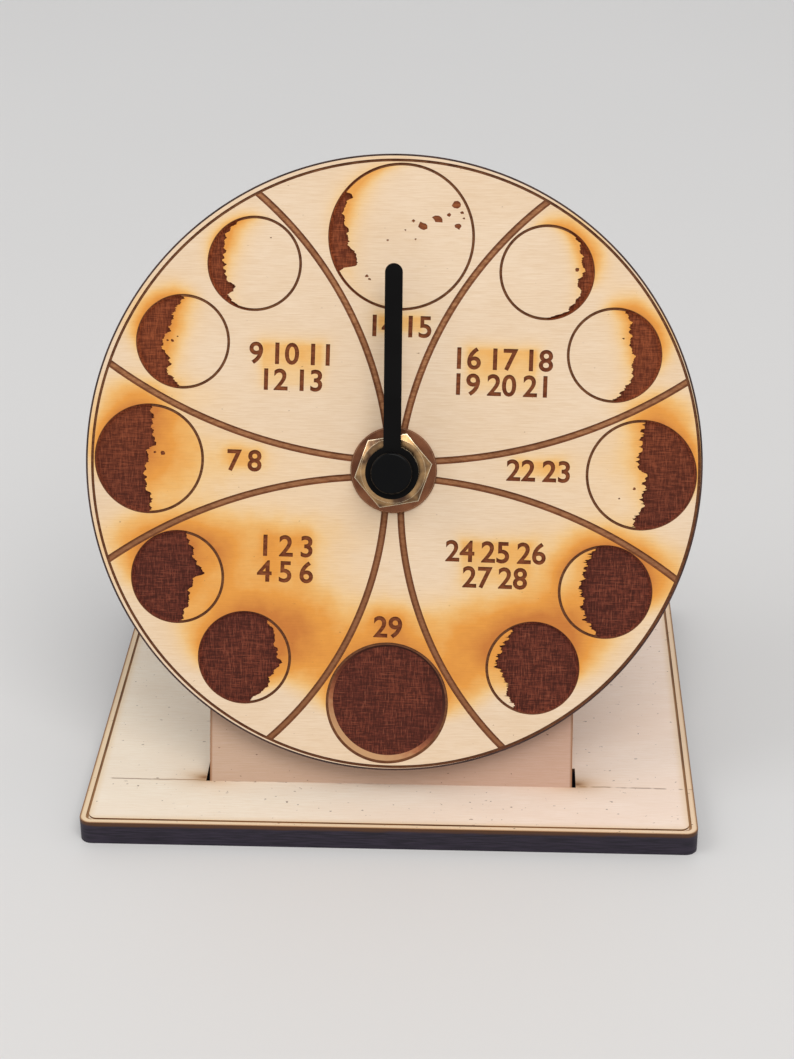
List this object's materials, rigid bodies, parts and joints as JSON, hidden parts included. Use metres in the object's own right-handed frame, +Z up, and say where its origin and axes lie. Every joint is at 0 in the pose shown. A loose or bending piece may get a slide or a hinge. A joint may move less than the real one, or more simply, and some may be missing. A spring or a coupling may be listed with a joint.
{
  "type": "moon phase desk clock",
  "caption": "Desk clock with one hand that turns over a round wooden dial of moon phases, on a panel leaning back from a slotted rectangular base.",
  "frame": {"origin": "middle of the base's underside, on the surface that the clock stands on", "axes": "+X to the viewer's right, +Y to the back, +Z up; the dial faces -Y and leans back by 22.4 degrees"},
  "size_m": [0.1, 0.08, 0.1008],
  "materials": {
    "birch_ply": "pale birch plywood, unvarnished, laser-cut with charred edges",
    "birch_dial": "pale birch plywood with burnt engraving and amber scorching",
    "brass": "turned and pressed brass, bright",
    "black_hand": "satin black lacquer",
    "black_cap": "smooth black, slightly glossy",
    "case_black": "fine moulded texture",
    "knob_black": "satin, ribbed",
    "gasket_rubber": "soft black rubber",
    "gear_nylon": "natural nylon",
    "bridge_white": "satin white moulding",
    "steel_screw": "zinc-plated",
    "steel_spring": "nickel-plated strip",
    "soft_iron": "stamped, dull grey",
    "magnet_grey": "dark sintered magnet",
    "copper_wire": "enamelled copper winding",
    "bobbin_ivory": "natural moulding",
    "board_green": "solder-masked board",
    "chip_black": "black potting resin",
    "crystal_can": "drawn metal can",
    "battery_wrap": "plain printed sleeve over a steel can"
  },
  "bodies": {
    "stand": {"base_plate": "birch_ply", "upright_panel": "birch_ply", "dial": "birch_dial", "dial_washer": "brass", "dial_nut": "brass", "threaded_bushing": "brass", "rubber_gasket": "gasket_rubber", "movement_case": "case_black", "rear_cover": "case_black", "gear_bridge": "bridge_white", "bridge_screws": "steel_screw", "cover_screws": "steel_screw", "circuit_board": "board_green", "driver_chip": "chip_black", "quartz_crystal": "crystal_can", "coil_bobbin": "bobbin_ivory", "coil_winding": "copper_wire", "coil_core": "soft_iron", "stator": "soft_iron", "positive_contact": "steel_spring", "negative_contact": "steel_spring"},
    "rotor": {"rotor_magnet": "magnet_grey", "rotor_pinion": "gear_nylon"},
    "step": {"step_wheel": "gear_nylon"},
    "transfer": {"transfer_wheel": "gear_nylon"},
    "drive": {"drive_wheel": "gear_nylon"},
    "hand": {"hand_tube": "brass", "clutch_washer": "steel_spring", "setting_wheel": "gear_nylon", "moon_hand": "black_hand", "hand_collet": "brass", "hand_cap": "black_cap"},
    "knob": {"setting_pinion": "gear_nylon", "setting_knob": "knob_black"},
    "battery": {"battery": "battery_wrap"}
  },
  "joints": [
    {"name": "rotor_spin", "type": "hinge", "parent": "stand", "child": "rotor", "pos_m": [-0.0008, -0.00226, 0.06451], "axis": [0, 0.9245, -0.3811], "continuous": true},
    {"name": "step_spin", "type": "hinge", "parent": "stand", "child": "step", "pos_m": [0.00748, -0.00282, 0.06316], "axis": [0, 0.9245, -0.3811], "continuous": true},
    {"name": "transfer_spin", "type": "hinge", "parent": "stand", "child": "transfer", "pos_m": [0.01035, -0.00582, 0.05586], "axis": [0, 0.9245, -0.3811], "continuous": true},
    {"name": "drive_spin", "type": "hinge", "parent": "stand", "child": "drive", "pos_m": [0.0002, -0.00723, 0.05245], "axis": [0, 0.9245, -0.3811], "continuous": true},
    {"name": "hand_turn", "type": "hinge", "parent": "stand", "child": "hand", "pos_m": [0.0002, -0.00723, 0.05245], "axis": [0, 0.9245, -0.3811], "continuous": true},
    {"name": "knob_turn", "type": "hinge", "parent": "stand", "child": "knob", "pos_m": [-0.00657, -0.00817, 0.05017], "axis": [0, 0.9245, -0.3811], "continuous": true},
    {"name": "battery_slide", "type": "slide", "parent": "stand", "child": "battery", "axis": [0, 0.9245, -0.3811], "range_m": [0, 0.02]}
  ],
  "couplings": [
    {"joint": "step_spin", "follows": "rotor_spin", "ratio": -0.16667},
    {"joint": "transfer_spin", "follows": "rotor_spin", "ratio": 0.027778},
    {"joint": "drive_spin", "follows": "rotor_spin", "ratio": -0.0034722},
    {"joint": "knob_turn", "follows": "hand_turn", "ratio": -3}
  ]
}
